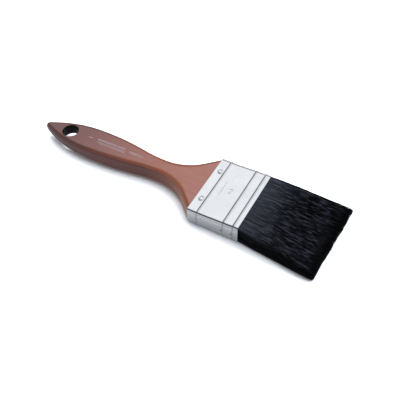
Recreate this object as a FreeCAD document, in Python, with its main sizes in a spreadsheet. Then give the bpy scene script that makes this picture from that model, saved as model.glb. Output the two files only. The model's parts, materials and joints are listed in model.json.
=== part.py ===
import FreeCAD, Part
import math
import os
import Sketcher
from FreeCAD import Placement, Rotation, Vector
from types import SimpleNamespace

# A flat paint brush lying on its back. +X runs from the tail of the handle to the bristle tips,
# +Y across the width and +Z through the thickness. The origin is on the surface that the brush
# rests on, under the middle of its length. Each piece is drawn in the brush's own frame, which
# starts where the handle meets the ferrule, on the middle plane of the brush.

# Driving dimensions: name, millimetres, meaning.
SIZES = [
    ("brush_width", 50.8, "outside width of the ferrule"),
    ("handle_length", 132.0, "tail of the handle to the edge of the ferrule"),
    ("ferrule_length", 36.5, "edge at the handle to the mouth"),
    ("bristle_length", 57.0, "free length of the bristles past the mouth"),
    ("collar_thickness", 12.0, "thickness of the handle and of the ferrule around it"),
    ("mouth_thickness", 14.2, "outside thickness of the ferrule at its mouth"),
    ("collar_length", 11.0, "straight part of the ferrule, before it widens to the mouth"),
    ("gauge", 0.35, "thickness of the ferrule's sheet"),
    ("ferrule_corner", 1.1, "outside corner radius of the ferrule"),
    ("fit_gap", 0.02, "gap between pieces that are seated in one another"),
    ("belly_place", 92.0, "widest point of the grip, back from the ferrule"),
    ("belly_width", 22.7, "width of the grip at its widest point"),
    ("belly_radius", 245.0, "side of the grip on the ferrule's side of its widest point"),
    ("nose_radius", 2.5, "round at the tip of the tail"),
    ("neck_place", 34.0, "narrowest point of the handle, back from the ferrule"),
    ("neck_width", 13.0, "width of the handle at its narrowest point"),
    ("throat_radius", 36.0, "hollow between the neck and the shoulders"),
    ("shoulder_width", 50.6, "width of the handle where it meets the ferrule"),
    ("edge_round", 2.4, "round on the long edges of the handle"),
    ("taper_place", 62.0, "start of the handle's taper in thickness, back from the ferrule"),
    ("taper_radius", 400.0, "bend of the broad faces into the taper"),
    ("tail_thickness", 6.5, "thickness of the handle at the end of its tail"),
    ("tang_length", 14.0, "depth of the handle inside the ferrule"),
    ("hang_hole_place", 110.5, "centre of the hanging hole, back from the ferrule"),
    ("hang_hole_radius", 5.5, "clear radius of the hanging hole"),
    ("sleeve_length", 7.8, "length of the liner, just short of both faces of the wood"),
    ("sleeve_wall", 0.4, "wall of the liner of the hanging hole"),
    ("hole_edge_round", 0.3, "round on the edges of the hole in the wood"),
    ("bead_height", 0.4, "height of a pressed bead above the sheet"),
    ("bead_width", 1.4, "width of a pressed bead"),
    ("first_bead", 7.5, "bead beside the nails, from the edge of the ferrule"),
    ("second_bead", 26.4, "inner bead of the pair, from the edge of the ferrule"),
    ("third_bead", 33.4, "outer bead of the pair, from the edge of the ferrule"),
    ("lap_height", 5.4, "width of the lap of the sheet on the narrow side"),
    ("lap_rise", 0.4, "middle of the lap above the middle plane"),
    ("lap_margin", 0.6, "lap held back from both ends of the ferrule"),
    ("clinch_radius", 0.6, "radius of a clinch mark on the lap"),
    ("clinch_depth", 0.25, "depth of a clinch mark"),
    ("clinch_drop", 1.3, "clinch marks below the middle plane"),
    ("clinch_setback", 1.6, "clinch marks back from the beads of the pair"),
    ("nail_place", 4.1, "nails from the edge of the ferrule"),
    ("front_nail_offset", 13.4, "nails on the front face, from the middle"),
    ("rear_nail_offset", 9.0, "nails on the rear face, from the middle"),
    ("nail_head_radius", 1.5, "radius of a nail's head"),
    ("nail_head_height", 0.4, "height of the domed head"),
    ("nail_shank_radius", 0.7, "radius of the shank"),
    ("nail_length", 7.0, "length of the shank with its point"),
    ("nail_point", 1.4, "length of the point"),
    ("resin_length", 5.0, "depth of the resin that holds the bristle roots"),
    ("spacer_width", 42.0, "width of the wooden strip in the middle of the bristles"),
    ("spacer_length", 14.0, "length of that strip"),
    ("spacer_thickness", 3.5, "thickness of that strip"),
    ("spacer_corner", 0.4, "corner radius of that strip"),
    ("bend_place", 6.8, "bending axis of the bristles, out from the mouth"),
    ("root_length", 2.2, "part of the bristles outside the mouth that stays put"),
    ("tuft_thickness", 13.0, "thickness of the bristles at the bending axis"),
    ("tuft_width", 49.8, "width of the bristles at the bending axis"),
    ("tip_thickness", 5.4, "thickness of the bristles at their tips"),
    ("tip_drop", 4.6, "middle of the tips below the middle plane, as the brush lies on a table"),
    ("tip_width", 62.0, "width of the bristles at their tips"),
    ("bend_gap", 0.3, "gap between the bending bristles and the ones that stay put"),
    ("bristle_corner", 1.5, "corner radius of the bristle pack"),
]


class Size:
    """A length with the expression that ties it to the sheet. Sums and products keep both."""

    def __init__(self, number, text):
        self.number = number
        self.text = text

    @staticmethod
    def of(value):
        return value if isinstance(value, Size) else Size(float(value), str(float(value)))

    def __add__(self, other):
        other = Size.of(other)
        return Size(self.number + other.number, f"({self.text} + {other.text})")

    def __sub__(self, other):
        other = Size.of(other)
        return Size(self.number - other.number, f"({self.text} - {other.text})")

    def __mul__(self, other):
        other = Size.of(other)
        return Size(self.number * other.number, f"{self.text} * {other.text}")

    def __truediv__(self, other):
        other = Size.of(other)
        return Size(self.number / other.number, f"{self.text} / {other.text}")

    def __rmul__(self, other):
        return Size.of(other) * self


doc = FreeCAD.newDocument("flat_paint_brush")
sheet = doc.addObject("Spreadsheet::Sheet", "Sizes")
for row, (name, number, meaning) in enumerate(SIZES, start=1):
    sheet.set(f"A{row}", meaning)
    sheet.set(f"B{row}", str(number))
    sheet.setAlias(f"B{row}", name)
doc.recompute()
size = SimpleNamespace(**{name: Size(number, "Sizes." + name) for name, number, meaning in SIZES})

NONE = Size(0.0, "0")
TAPER_MARGIN = Size.of(1.0)
FRONT, REAR = 1, -1
BEADS = {"First": size.first_bead, "Second": size.second_bead, "Third": size.third_bead}


def ferrule_thickness(place):
    """Outside thickness of the ferrule at a place: a straight collar, then a straight taper."""
    if place.number <= size.collar_length.number:
        return size.collar_thickness
    share = (place - size.collar_length) / (size.ferrule_length - size.collar_length)
    return size.collar_thickness + (size.mouth_thickness - size.collar_thickness) * share


INSIDE_WIDTH = size.brush_width - 2 * size.gauge - 2 * size.fit_gap
INSIDE_CORNER = size.ferrule_corner - size.gauge
RESIN_START = size.tang_length + size.fit_gap
RESIN_END = RESIN_START + size.resin_length
ROOTS_START = RESIN_END + size.fit_gap
BEND_AXIS = size.ferrule_length + size.bend_place
SLEEVE_RADIUS = size.hang_hole_radius + size.sleeve_wall

# The brush's own frame in the frame of the model.
TOTAL_LENGTH = size.handle_length + size.ferrule_length + size.bristle_length
FERRULE_EDGE = size.handle_length - TOTAL_LENGTH / 2
MIDDLE_HEIGHT = ferrule_thickness(size.third_bead) / 2 + size.bead_height
BRUSH_FRAME = Placement(Vector(FERRULE_EDGE.number, 0, MIDDLE_HEIGHT.number), Rotation())


def room_thickness(place):
    """Thickness that a piece inside the ferrule has at a place."""
    return ferrule_thickness(place) - 2 * size.gauge - 2 * size.fit_gap


def new_body(label, placement=BRUSH_FRAME):
    body = doc.addObject("PartDesign::Body", label)
    body.Label = label
    body.Placement = placement
    return body


def origin_plane(body, role):
    return next(plane for plane in body.Origin.OriginFeatures if plane.Role == role)


def add_sketch(body, name, plane_role, offset=None):
    """A sketch on one of the body's origin planes, moved along the plane's normal."""
    sketch = body.newObject("Sketcher::SketchObject", name)
    sketch.AttachmentSupport = [(origin_plane(body, plane_role), "")]
    sketch.MapMode = "FlatFace"
    if offset:
        sketch.setExpression("AttachmentOffset.Base.z", offset.text)
    return sketch


def bind(sketch, name, amount, kind, *elements):
    """Add a driving constraint and tie its value to the sheet."""
    index = sketch.addConstraint(Sketcher.Constraint(kind, *elements, amount.number))
    sketch.renameConstraint(index, name)
    sketch.setExpression("Constraints." + name, amount.text)


def constrain(sketch, *constraints):
    for constraint in constraints:
        sketch.addConstraint(Sketcher.Constraint(*constraint))


def closed_polygon(sketch, points):
    """Straight sides through the points, joined end to start all the way round."""
    count = len(points)
    for corner in range(count):
        start, end = points[corner], points[(corner + 1) % count]
        sketch.addGeometry(Part.LineSegment(Vector(*start, 0), Vector(*end, 0)))
    for side in range(count):
        constrain(sketch, ("Coincident", side, 2, (side + 1) % count, 1))


def rounded_rectangle(sketch, width, height, radius):
    """A rectangle with round corners, centred on the sketch's origin."""
    half_width, half_height, corner = width.number / 2, height.number / 2, radius.number
    flat_x, flat_y = half_width - corner, half_height - corner
    sides = [
        ((-flat_x, -half_height), (flat_x, -half_height)),
        ((half_width, -flat_y), (half_width, flat_y)),
        ((flat_x, half_height), (-flat_x, half_height)),
        ((-half_width, flat_y), (-half_width, -flat_y)),
    ]
    centres = [(flat_x, -flat_y), (flat_x, flat_y), (-flat_x, flat_y), (-flat_x, -flat_y)]
    for turn, (side, centre) in enumerate(zip(sides, centres)):
        start = (turn - 1) * math.pi / 2
        circle = Part.Circle(Vector(*centre, 0), Vector(0, 0, 1), corner)
        sketch.addGeometry(Part.LineSegment(Vector(*side[0], 0), Vector(*side[1], 0)))
        sketch.addGeometry(Part.ArcOfCircle(circle, start, start + math.pi / 2))
    for line in (0, 2, 4, 6):
        arc, next_line = line + 1, (line + 2) % 8
        constrain(sketch, ("Tangent", line, 2, arc, 1), ("Tangent", arc, 2, next_line, 1))
    constrain(
        sketch,
        ("Equal", 1, 3), ("Equal", 1, 5), ("Equal", 1, 7),
        ("Horizontal", 0), ("Vertical", 2),
        ("Symmetric", 1, 3, 5, 3, -1, 1),
    )
    bind(sketch, "corner", radius, "Radius", 1)
    bind(sketch, "width", width, "DistanceX", 6, 1, 2, 1)
    bind(sketch, "height", height, "DistanceY", 0, 1, 4, 1)


def add_circle(sketch, name, radius, along=NONE, across=NONE, along_side=1, across_side=1):
    """A circle of a given radius, at distances from the axes on the sides given by the signs."""
    centre = Vector(along_side * along.number, across_side * across.number, 0)
    index = sketch.addGeometry(Part.Circle(centre, Vector(0, 0, 1), radius.number))
    bind(sketch, name + "_radius", radius, "Radius", index)
    for suffix, kind, distance, side, axis in (
        ("_along", "DistanceX", along, along_side, -2),
        ("_across", "DistanceY", across, across_side, -1),
    ):
        if distance.number:
            ends = (-1, 1, index, 3) if side > 0 else (index, 3, -1, 1)
            bind(sketch, name + suffix, distance, kind, *ends)
        else:
            constrain(sketch, ("PointOnObject", index, 3, axis))


def section(body, name, place, width, thickness, corner, drop=None):
    """A rounded rectangle across the brush, at a distance from the edge of the ferrule."""
    sketch = add_sketch(body, name, "YZ_Plane", place)
    if drop:
        sketch.setExpression("AttachmentOffset.Base.y", "-" + drop.text)
    rounded_rectangle(sketch, width, thickness, corner)
    return sketch


def side_profile(body, name, stations):
    """A profile that is symmetric about the middle plane, through (place, thickness) stations."""
    sketch = add_sketch(body, name, "XZ_Plane")
    lower = [(place.number, -thickness.number / 2) for place, thickness in stations]
    upper = [(place.number, thickness.number / 2) for place, thickness in reversed(stations)]
    closed_polygon(sketch, lower + upper)
    last = 2 * len(stations) - 1
    for index, (place, thickness) in enumerate(stations):
        opposite = last - index
        constrain(sketch, ("Symmetric", index, 1, opposite, 1, -1))
        bind(sketch, f"thickness_{index}", thickness, "DistanceY", index, 1, opposite, 1)
        if place.number:
            bind(sketch, f"place_{index}", place, "DistanceX", -1, 1, index, 1)
        else:
            constrain(sketch, ("PointOnObject", index, 1, -2))
    return sketch


def extrude(body, kind, name, sketch, length, midplane, reverse):
    """A pad or a pocket, which has to change the body's volume."""
    before = 0.0 if body.Shape.isNull() else body.Shape.Volume
    feature = body.newObject("PartDesign::" + kind, name)
    feature.Profile = sketch
    feature.SideType = "Symmetric" if midplane else "One side"
    feature.Reversed = reverse
    feature.setExpression("Length", length.text)
    doc.recompute()
    grows = body.Shape.Volume > before
    if body.Shape.Volume == before or grows != (kind == "Pad"):
        raise RuntimeError(f"{body.Label}: {name} doesn't do what it is for")
    return feature


def pad(body, name, sketch, length, midplane=False, reverse=False):
    return extrude(body, "Pad", name, sketch, length, midplane, reverse)


def pocket(body, name, sketch, length, midplane=False, reverse=False):
    return extrude(body, "Pocket", name, sketch, length, midplane, reverse)


def fillet(body, name, base, radius, wanted):
    """Round the edges of a feature for which wanted(edge) is true."""
    feature = body.newObject("PartDesign::Fillet", name)
    names = [f"Edge{i}" for i, edge in enumerate(base.Shape.Edges, start=1) if wanted(edge)]
    feature.Base = (base, names)
    feature.setExpression("Radius", radius.text)
    doc.recompute()
    return feature


def long_edge(edge):
    """An edge along the brush, for rounding the corners of a plain block."""
    return edge.BoundBox.XLength > 1.0 and edge.BoundBox.YLength < 1e-6


def flat_block(body, name, stations, width, corner):
    """A block across the brush whose thickness follows the stations, with round long corners."""
    profile = side_profile(body, name + "Profile", stations)
    block = pad(body, name, profile, width, midplane=True)
    return fillet(body, name + "Corners", block, corner, long_edge)


def handle_outline(sketch):
    """One side of the handle, from its tail to its shoulder: tangent arcs and a straight shoulder."""
    tail, belly, neck = (
        -place.number for place in (size.handle_length, size.belly_place, size.neck_place)
    )
    nose, belly_radius, throat = (
        radius.number for radius in (size.nose_radius, size.belly_radius, size.throat_radius)
    )
    belly_y, neck_y, shoulder_y = (
        width.number / 2 for width in (size.belly_width, size.neck_width, size.shoulder_width)
    )

    # The tail arc touches the nose and is level at the belly.
    reach = belly - (tail + nose)
    tail_radius = (reach**2 + belly_y**2 - nose**2) / (2 * (belly_y - nose))
    nose_centre = Vector(tail + nose, 0, 0)
    tail_centre = Vector(belly, belly_y - tail_radius, 0)

    # The belly arc turns into the neck arc, which is level at the neck.
    span, drop = neck - belly, belly_y - neck_y
    neck_radius = (span**2 + drop**2) / (2 * drop) - belly_radius
    belly_centre = Vector(belly, belly_y - belly_radius, 0)
    neck_centre = Vector(neck, neck_y + neck_radius, 0)

    # The shoulder is the tangent from its corner to the throat arc.
    throat_centre = Vector(neck, neck_y + throat, 0)
    shoulder = Vector(0, shoulder_y, 0)
    to_shoulder = shoulder - throat_centre
    touch_angle = math.atan2(to_shoulder.y, to_shoulder.x) - math.acos(throat / to_shoulder.Length)
    touch = throat_centre + Vector(math.cos(touch_angle), math.sin(touch_angle), 0) * throat

    def arc(centre, radius, start, end):
        """The anticlockwise arc from start to end."""
        turns = [math.atan2(point.y - centre.y, point.x - centre.x) for point in (start, end)]
        return Part.ArcOfCircle(Part.Circle(centre, Vector(0, 0, 1), radius), *turns)

    root = Vector(0, 0, 0)
    tail_point = Vector(tail, 0, 0)
    nose_end = tail_centre + (nose_centre - tail_centre).normalize() * tail_radius
    belly_point = Vector(belly, belly_y, 0)
    bend_point = belly_centre + (neck_centre - belly_centre).normalize() * belly_radius
    neck_point = Vector(neck, neck_y, 0)
    for curve in (
        arc(nose_centre, nose, nose_end, tail_point),
        arc(tail_centre, tail_radius, belly_point, nose_end),
        arc(belly_centre, belly_radius, bend_point, belly_point),
        arc(neck_centre, neck_radius, bend_point, neck_point),
        arc(throat_centre, throat, neck_point, touch),
        Part.LineSegment(touch, shoulder),
        Part.LineSegment(shoulder, root),
        Part.LineSegment(root, tail_point),
    ):
        sketch.addGeometry(curve)
    constrain(
        sketch,
        ("Tangent", 0, 1, 1, 2), ("Tangent", 1, 1, 2, 2), ("Tangent", 2, 1, 3, 1),
        ("Tangent", 3, 2, 4, 1), ("Tangent", 4, 2, 5, 1),
        ("Coincident", 5, 2, 6, 1), ("Coincident", 6, 2, 7, 1), ("Coincident", 7, 2, 0, 2),
        ("Coincident", 6, 2, -1, 1), ("Horizontal", 7), ("Vertical", 6),
        ("PointOnObject", 0, 3, -1), ("Vertical", 1, 3, 1, 1), ("Vertical", 4, 3, 4, 1),
    )
    bind(sketch, "nose_radius", size.nose_radius, "Radius", 0)
    bind(sketch, "belly_radius", size.belly_radius, "Radius", 2)
    bind(sketch, "throat_radius", size.throat_radius, "Radius", 4)
    bind(sketch, "handle_length", size.handle_length, "DistanceX", 0, 2, -1, 1)
    bind(sketch, "belly_place", size.belly_place, "DistanceX", 1, 1, -1, 1)
    bind(sketch, "belly_width", size.belly_width / 2, "DistanceY", -1, 1, 1, 1)
    bind(sketch, "neck_place", size.neck_place, "DistanceX", 4, 1, -1, 1)
    bind(sketch, "neck_width", size.neck_width / 2, "DistanceY", -1, 1, 4, 1)
    bind(sketch, "shoulder_width", size.shoulder_width / 2, "DistanceY", -1, 1, 5, 2)


def taper_cut(sketch):
    """The wedge above one broad face that thins the handle: an arc, then straight to the tail."""
    start, end = -size.taper_place.number, -(size.handle_length + TAPER_MARGIN).number
    face, tail_face = size.collar_thickness.number / 2, size.tail_thickness.number / 2
    above = face + TAPER_MARGIN.number
    radius = size.taper_radius.number
    centre = Vector(start, face - radius, 0)
    tail = Vector(end, tail_face, 0)
    to_tail = tail - centre
    touch_angle = math.atan2(to_tail.y, to_tail.x) - math.acos(radius / to_tail.Length)
    touch = centre + Vector(math.cos(touch_angle), math.sin(touch_angle), 0) * radius
    circle = Part.Circle(centre, Vector(0, 0, 1), radius)
    corners = [touch, tail, Vector(end, above, 0), Vector(start, above, 0), Vector(start, face, 0)]
    sketch.addGeometry(Part.ArcOfCircle(circle, math.pi / 2, touch_angle))
    for first, second in zip(corners, corners[1:]):
        sketch.addGeometry(Part.LineSegment(first, second))
    constrain(
        sketch,
        ("Tangent", 0, 2, 1, 1), ("Coincident", 1, 2, 2, 1), ("Coincident", 2, 2, 3, 1),
        ("Coincident", 3, 2, 4, 1), ("Coincident", 4, 2, 0, 1),
        ("Vertical", 2), ("Horizontal", 3), ("Vertical", 4), ("Vertical", 0, 3, 0, 1),
    )
    bind(sketch, "taper_radius", size.taper_radius, "Radius", 0)
    bind(sketch, "taper_place", size.taper_place, "DistanceX", 0, 1, -1, 1)
    bind(sketch, "face", size.collar_thickness / 2, "DistanceY", -1, 1, 0, 1)
    bind(sketch, "reach", size.handle_length + TAPER_MARGIN, "DistanceX", 1, 2, -1, 1)
    bind(sketch, "tail_face", size.tail_thickness / 2, "DistanceY", -1, 1, 1, 2)
    bind(sketch, "above", TAPER_MARGIN, "DistanceY", 4, 2, 4, 1)


def drill_nail_holes(body, face, offset):
    """A pair of nail holes into one broad face, as deep as a nail."""
    holes = add_sketch(body, "NailHoles", "XY_Plane", face * size.collar_thickness / 2)
    for name, side in (("left", 1), ("right", -1)):
        radius = size.nail_shank_radius + size.fit_gap
        add_circle(holes, name, radius, size.nail_place, offset, across_side=side)
    depth = size.nail_length + size.fit_gap
    pocket(body, "NailHolesCut", holes, depth, reverse=face == REAR)


def make_handle():
    """Flat wooden handle with a tang, drilled for the hanging hole and the nails."""
    body = new_body("handle")
    outline = add_sketch(body, "HandleOutline", "XY_Plane")
    handle_outline(outline)
    half = pad(body, "HandleHalf", outline, size.collar_thickness, midplane=True)
    mirror = body.newObject("PartDesign::Mirrored", "HandleMirror")
    mirror.Originals = [half]
    mirror.MirrorPlane = (origin_plane(body, "XZ_Plane"), [""])
    mirror.Refine = True
    body.Tip = mirror
    doc.recompute()

    wedge = add_sketch(body, "Taper", "XZ_Plane")
    taper_cut(wedge)
    front_taper = pocket(body, "FrontTaper", wedge, 2 * size.belly_width, midplane=True)
    taper = body.newObject("PartDesign::Mirrored", "RearTaper")
    taper.Originals = [front_taper]
    taper.MirrorPlane = (origin_plane(body, "XY_Plane"), [""])
    taper.Refine = True
    body.Tip = taper
    doc.recompute()

    def outline_edge(edge):
        box = edge.BoundBox
        return abs(box.Center.z) > size.tail_thickness.number / 4 and box.XLength > 1e-6

    fillet(body, "HandleEdges", taper, size.edge_round, outline_edge)
    tang_thickness = room_thickness(size.collar_length)
    tang = section(body, "Tang", None, INSIDE_WIDTH, tang_thickness, INSIDE_CORNER)
    pad(body, "TangPad", tang, size.tang_length)

    hole = add_sketch(body, "HangHole", "XY_Plane")
    hole_radius = SLEEVE_RADIUS + size.fit_gap
    add_circle(hole, "hole", hole_radius, size.hang_hole_place, along_side=-1)
    bore = pocket(body, "HangHoleCut", hole, 2 * size.collar_thickness, midplane=True)

    def hole_edge(edge):
        full_turn = 2 * math.pi * hole_radius.number
        return abs(edge.Length - full_turn) < 0.2 and edge.BoundBox.ZLength < 1.0

    fillet(body, "HangHoleEdges", bore, size.hole_edge_round, hole_edge)
    drill_nail_holes(body, FRONT, size.front_nail_offset)
    drill_nail_holes(body, REAR, size.rear_nail_offset)
    return body


def make_hang_hole_sleeve():
    """Thin liner of the hanging hole, just short of both faces of the wood."""
    body = new_body("hang_hole_sleeve")
    ring = add_sketch(body, "SleeveRing", "XY_Plane")
    add_circle(ring, "outside", SLEEVE_RADIUS, size.hang_hole_place, along_side=-1)
    add_circle(ring, "bore", size.hang_hole_radius, size.hang_hole_place, along_side=-1)
    pad(body, "SleevePad", ring, size.sleeve_length, midplane=True)
    return body


def ferrule_block(label, inset):
    """A solid with the outline of the ferrule, beads included, held in from its outside."""
    body = new_body(label, Placement())
    stations = [
        (place, ferrule_thickness(place) - 2 * inset)
        for place in (NONE, size.collar_length, size.ferrule_length)
    ]
    width, corner = size.brush_width - 2 * inset, size.ferrule_corner - inset
    flat_block(body, "Blank", stations, width, corner)
    for bead, place in BEADS.items():
        thickness = ferrule_thickness(place) - 2 * inset
        ring = section(
            body, bead + "Bead", place,
            width + 2 * size.bead_height,
            thickness + 2 * size.bead_height,
            corner + size.bead_height,
        )
        pad(body, bead + "BeadPad", ring, size.bead_width - 2 * inset, midplane=True)
    return body


def lap_strip(sketch):
    """The rectangle of the lap on the narrow side, along the whole ferrule but for a margin."""
    left, right = size.lap_margin.number, (size.ferrule_length - size.lap_margin).number
    below, above = size.lap_height / 2 - size.lap_rise, size.lap_height / 2 + size.lap_rise
    corners = [
        (left, -below.number), (right, -below.number), (right, above.number), (left, above.number)
    ]
    closed_polygon(sketch, corners)
    for side, direction in enumerate(("Horizontal", "Vertical", "Horizontal", "Vertical")):
        constrain(sketch, (direction, side))
    bind(sketch, "margin", size.lap_margin, "DistanceX", -1, 1, 0, 1)
    bind(sketch, "length", size.ferrule_length - 2 * size.lap_margin, "DistanceX", 0, 1, 0, 2)
    bind(sketch, "below", below, "DistanceY", 0, 1, -1, 1)
    bind(sketch, "above", above, "DistanceY", -1, 1, 2, 1)


def make_ferrule():
    """Sheet metal sleeve with three pressed beads, a lap on one narrow side and four nail holes."""
    outside = ferrule_block("ferrule_outside", NONE)
    lap = add_sketch(outside, "Lap", "XZ_Plane", size.brush_width / 2)
    lap_strip(lap)
    pad(outside, "LapPad", lap, size.gauge)
    marks = add_sketch(outside, "ClinchMarks", "XZ_Plane", size.brush_width / 2 + size.gauge)
    for bead in ("Second", "Third"):
        along = BEADS[bead] - size.clinch_setback
        add_circle(marks, bead, size.clinch_radius, along, size.clinch_drop, across_side=-1)
    pocket(outside, "ClinchCut", marks, size.clinch_depth)
    drill_nail_holes(outside, FRONT, size.front_nail_offset)
    drill_nail_holes(outside, REAR, size.rear_nail_offset)

    ferrule = doc.addObject("Part::Cut", "ferrule")
    ferrule.Label = "ferrule"
    ferrule.Base = outside
    ferrule.Tool = ferrule_block("ferrule_room", size.gauge)
    doc.recompute()
    ferrule.Placement = BRUSH_FRAME
    return ferrule


def make_nail(label, face, across):
    """Domed nail through the ferrule into the tang. Its own frame is at the underside of its head."""
    seat = Vector(size.nail_place.number, across, face * size.collar_thickness.number / 2)
    turn = Rotation(Vector(1, 0, 0), 0 if face == FRONT else 180)
    body = new_body(label, BRUSH_FRAME * Placement(seat, turn))
    profile = add_sketch(body, "NailProfile", "XZ_Plane")
    head, dome = size.nail_head_radius.number, size.nail_head_height.number
    shank, length = size.nail_shank_radius.number, size.nail_length.number
    shank_end = length - size.nail_point.number
    dome_radius = (head**2 + dome**2) / (2 * dome)
    dome_centre = Vector(0, dome - dome_radius, 0)
    rim_angle = math.atan2(-dome_centre.y, head)
    circle = Part.Circle(dome_centre, Vector(0, 0, 1), dome_radius)
    profile.addGeometry(Part.ArcOfCircle(circle, rim_angle, math.pi / 2))
    path = [(head, 0), (shank, 0), (shank, -shank_end), (0, -length), (0, dome)]
    for start, end in zip(path, path[1:]):
        profile.addGeometry(Part.LineSegment(Vector(*start, 0), Vector(*end, 0)))
    constrain(
        profile,
        ("Coincident", 0, 1, 1, 1), ("Coincident", 1, 2, 2, 1), ("Coincident", 2, 2, 3, 1),
        ("Coincident", 3, 2, 4, 1), ("Coincident", 4, 2, 0, 2),
        ("PointOnObject", 0, 3, -2), ("PointOnObject", 0, 2, -2), ("PointOnObject", 3, 2, -2),
        ("PointOnObject", 1, 1, -1), ("Horizontal", 1), ("Vertical", 2),
    )
    bind(profile, "head", size.nail_head_radius, "DistanceX", -1, 1, 1, 1)
    bind(profile, "dome", size.nail_head_height, "DistanceY", -1, 1, 0, 2)
    bind(profile, "shank", size.nail_shank_radius, "DistanceX", -1, 1, 2, 1)
    bind(profile, "length", size.nail_length, "DistanceY", 3, 2, -1, 1)
    bind(profile, "point", size.nail_point, "DistanceY", 3, 2, 2, 2)
    turned = body.newObject("PartDesign::Revolution", "Nail")
    turned.Profile = profile
    turned.ReferenceAxis = (profile, ["V_Axis"])
    turned.Angle = 360
    doc.recompute()
    return body


def make_resin_heel():
    """Block of set resin that fills the ferrule behind the bristles."""
    body = new_body("resin_heel")
    stations = [(place, room_thickness(place)) for place in (RESIN_START, RESIN_END)]
    flat_block(body, "Resin", stations, INSIDE_WIDTH, INSIDE_CORNER)
    return body


def make_spacer_plug():
    """Wooden strip in the middle of the bristle roots, standing on the resin."""
    body = new_body("spacer_plug")
    strip = section(
        body, "Strip", ROOTS_START, size.spacer_width, size.spacer_thickness, size.spacer_corner
    )
    pad(body, "StripPad", strip, size.spacer_length)
    return body


def make_bristle_heel():
    """The bristles inside the ferrule and just past its mouth, which stay put."""
    body = new_body("bristle_heel")
    mouth = size.ferrule_length
    stations = [(place, room_thickness(place)) for place in (ROOTS_START, mouth)]
    flat_block(body, "Roots", stations, INSIDE_WIDTH, INSIDE_CORNER)
    collar = section(
        body, "RootCollar", mouth, size.tuft_width, size.tuft_thickness, size.bristle_corner
    )
    pad(body, "RootCollarPad", collar, size.root_length)
    slot = section(
        body, "SpacerSlot", ROOTS_START,
        size.spacer_width + 2 * size.fit_gap,
        size.spacer_thickness + 2 * size.fit_gap,
        size.spacer_corner + size.fit_gap,
    )
    pocket(body, "SpacerSlotCut", slot, size.spacer_length + size.fit_gap, reverse=True)
    seat = add_sketch(body, "BendSeat", "XZ_Plane")
    add_circle(seat, "seat", size.tuft_thickness / 2 + size.bend_gap, BEND_AXIS)
    pocket(body, "BendSeatCut", seat, 2 * size.brush_width, midplane=True)
    return body


def make_bristle_tuft():
    """The free bristles: a wedge that spreads in width and rests its tips on the table, with a
    round butt about the bending axis."""
    body = new_body("bristle_tuft")
    corner = size.bristle_corner
    tip = size.ferrule_length + size.bristle_length
    root_end = section(body, "TuftRoot", BEND_AXIS, size.tuft_width, size.tuft_thickness, corner)
    tip_end = section(
        body, "TuftTip", tip, size.tip_width, size.tip_thickness, corner, size.tip_drop
    )
    wedge = body.newObject("PartDesign::AdditiveLoft", "Tuft")
    wedge.Profile = root_end
    wedge.Sections = [tip_end]
    wedge.Ruled = True
    doc.recompute()
    butt = add_sketch(body, "TuftButt", "XZ_Plane")
    add_circle(butt, "butt", size.tuft_thickness / 2, BEND_AXIS)
    pad(body, "TuftButtPad", butt, size.tuft_width - 2 * corner, midplane=True)
    return body


def check_and_write(pieces):
    """Stop on any failed feature or unsound solid, then write one STEP file per piece."""
    failed = [item.Label for item in doc.Objects if {"Invalid", "Error"} & set(item.State)]
    if failed:
        raise RuntimeError(f"failed features: {failed}")
    for piece in pieces:
        shape = piece.Shape
        if shape.isNull() or not shape.isValid() or len(shape.Solids) != 1:
            raise RuntimeError(f"{piece.Label} is not one sound solid")
    os.makedirs("parts", exist_ok=True)
    for piece in pieces:
        piece.Shape.exportStep(f"parts/{piece.Label}.step")
        box = piece.Shape.optimalBoundingBox(False, False)
        extent = f"{box.XLength:.2f} x {box.YLength:.2f} x {box.ZLength:.2f}"
        print(f"{piece.Label:18s} {piece.Shape.Volume:10.2f} mm3  {extent} mm")


front, rear = size.front_nail_offset.number, size.rear_nail_offset.number
pieces = [
    make_handle(),
    make_hang_hole_sleeve(),
    make_ferrule(),
    make_nail("nail_front_left", FRONT, front),
    make_nail("nail_front_right", FRONT, -front),
    make_nail("nail_rear_left", REAR, rear),
    make_nail("nail_rear_right", REAR, -rear),
    make_resin_heel(),
    make_spacer_plug(),
    make_bristle_heel(),
    make_bristle_tuft(),
]
doc.recompute()
check_and_write(pieces)
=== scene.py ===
"""Looks of the flat paint brush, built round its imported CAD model.

Shapes are made in the brush's own coordinates, in millimetres: x runs from the edge of the ferrule
on the handle's side towards the bristle tips, y across the brush and z up from its middle plane.
in_frame() turns them into the metres of the row frame.
"""

import json
import math

import bpy
import numpy as np
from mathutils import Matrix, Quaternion, Vector


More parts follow.
